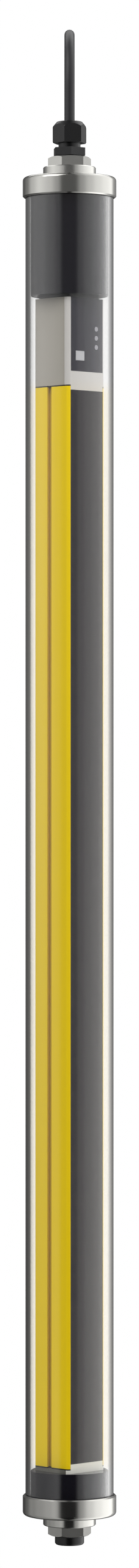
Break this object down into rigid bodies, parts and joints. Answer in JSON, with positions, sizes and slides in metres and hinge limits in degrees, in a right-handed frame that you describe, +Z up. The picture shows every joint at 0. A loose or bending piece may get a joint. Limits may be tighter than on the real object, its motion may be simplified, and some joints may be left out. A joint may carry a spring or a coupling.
{
  "type": "safety light curtain",
  "caption": "Safety light curtain sealed in a clear wash-down tube with steel end caps, a cable gland with a short connector lead above and a vent plug below.",
  "frame": {"origin": "on the tube's axis, in the middle of the lower end cap's clamping band", "axes": "+Z up along the tube, towards the cable gland; -Y out of the sensing face; +X to the right as seen facing the sensing face from -Y"},
  "size_m": [0.0888, 0.0888, 0.9703],
  "materials": {
    "clear_tube": "clear, polished",
    "stainless": "fine-turned, brushed",
    "black_polyamide": "satin moulded",
    "black_gloss": "glossy moulded",
    "seal_rubber": "matt",
    "yellow_paint": "powder-coated, satin",
    "dark_filter": "polished dark filter",
    "display_black": "semi-gloss film",
    "silver_plastic": "satin moulded",
    "light_grey_plastic": "satin moulded",
    "clear_lens": "clear moulded",
    "optics_black": "matt, non-reflecting",
    "circuit_board": "solder mask",
    "component": "moulded, clear resin",
    "indicator": "diffusing light guide",
    "cable_jacket": "matt polyurethane jacket",
    "zinc_steel": "zinc plated",
    "nickel": "nickel plated",
    "gold_contact": "gold plated"
  },
  "bodies": {
    "root": {"protective_tube": "clear_tube", "bottom_end_cap": "stainless", "top_end_cap": "stainless", "bottom_tube_seal": "seal_rubber", "top_tube_seal": "seal_rubber", "bottom_adapter": "stainless", "top_adapter": "stainless", "bottom_adapter_seal": "seal_rubber", "top_adapter_seal": "seal_rubber", "gland_washer": "seal_rubber", "gland_body": "black_polyamide", "gland_insert": "seal_rubber", "gland_nut": "black_polyamide", "vent_washer": "seal_rubber", "vent_plug": "black_polyamide", "vent_membrane": "light_grey_plastic", "upper_sleeve": "black_gloss", "lower_sleeve": "black_gloss", "housing_profile": "yellow_paint", "front_window": "dark_filter", "window_seals": "seal_rubber", "optics_carrier": "optics_black", "lenses": "clear_lens", "emitters": "component", "main_board": "circuit_board", "display_board": "circuit_board", "board_header": "optics_black", "head_housing": "silver_plastic", "head_bezel": "light_grey_plastic", "display_panel": "display_black", "status_lights": "indicator", "readout_window": "indicator", "head_cover": "black_gloss", "head_gasket": "seal_rubber", "head_screws": "zinc_steel", "foot_cap": "light_grey_plastic", "foot_gasket": "seal_rubber", "foot_screws": "zinc_steel", "head_socket": "nickel", "lead_plug_nut": "nickel", "lead_plug": "black_polyamide", "inner_lead": "cable_jacket", "lead_cable": "cable_jacket", "connector_body": "black_polyamide", "connector_nut": "nickel", "connector_insert": "black_polyamide", "connector_pins": "gold_contact"}
  },
  "joints": []
}
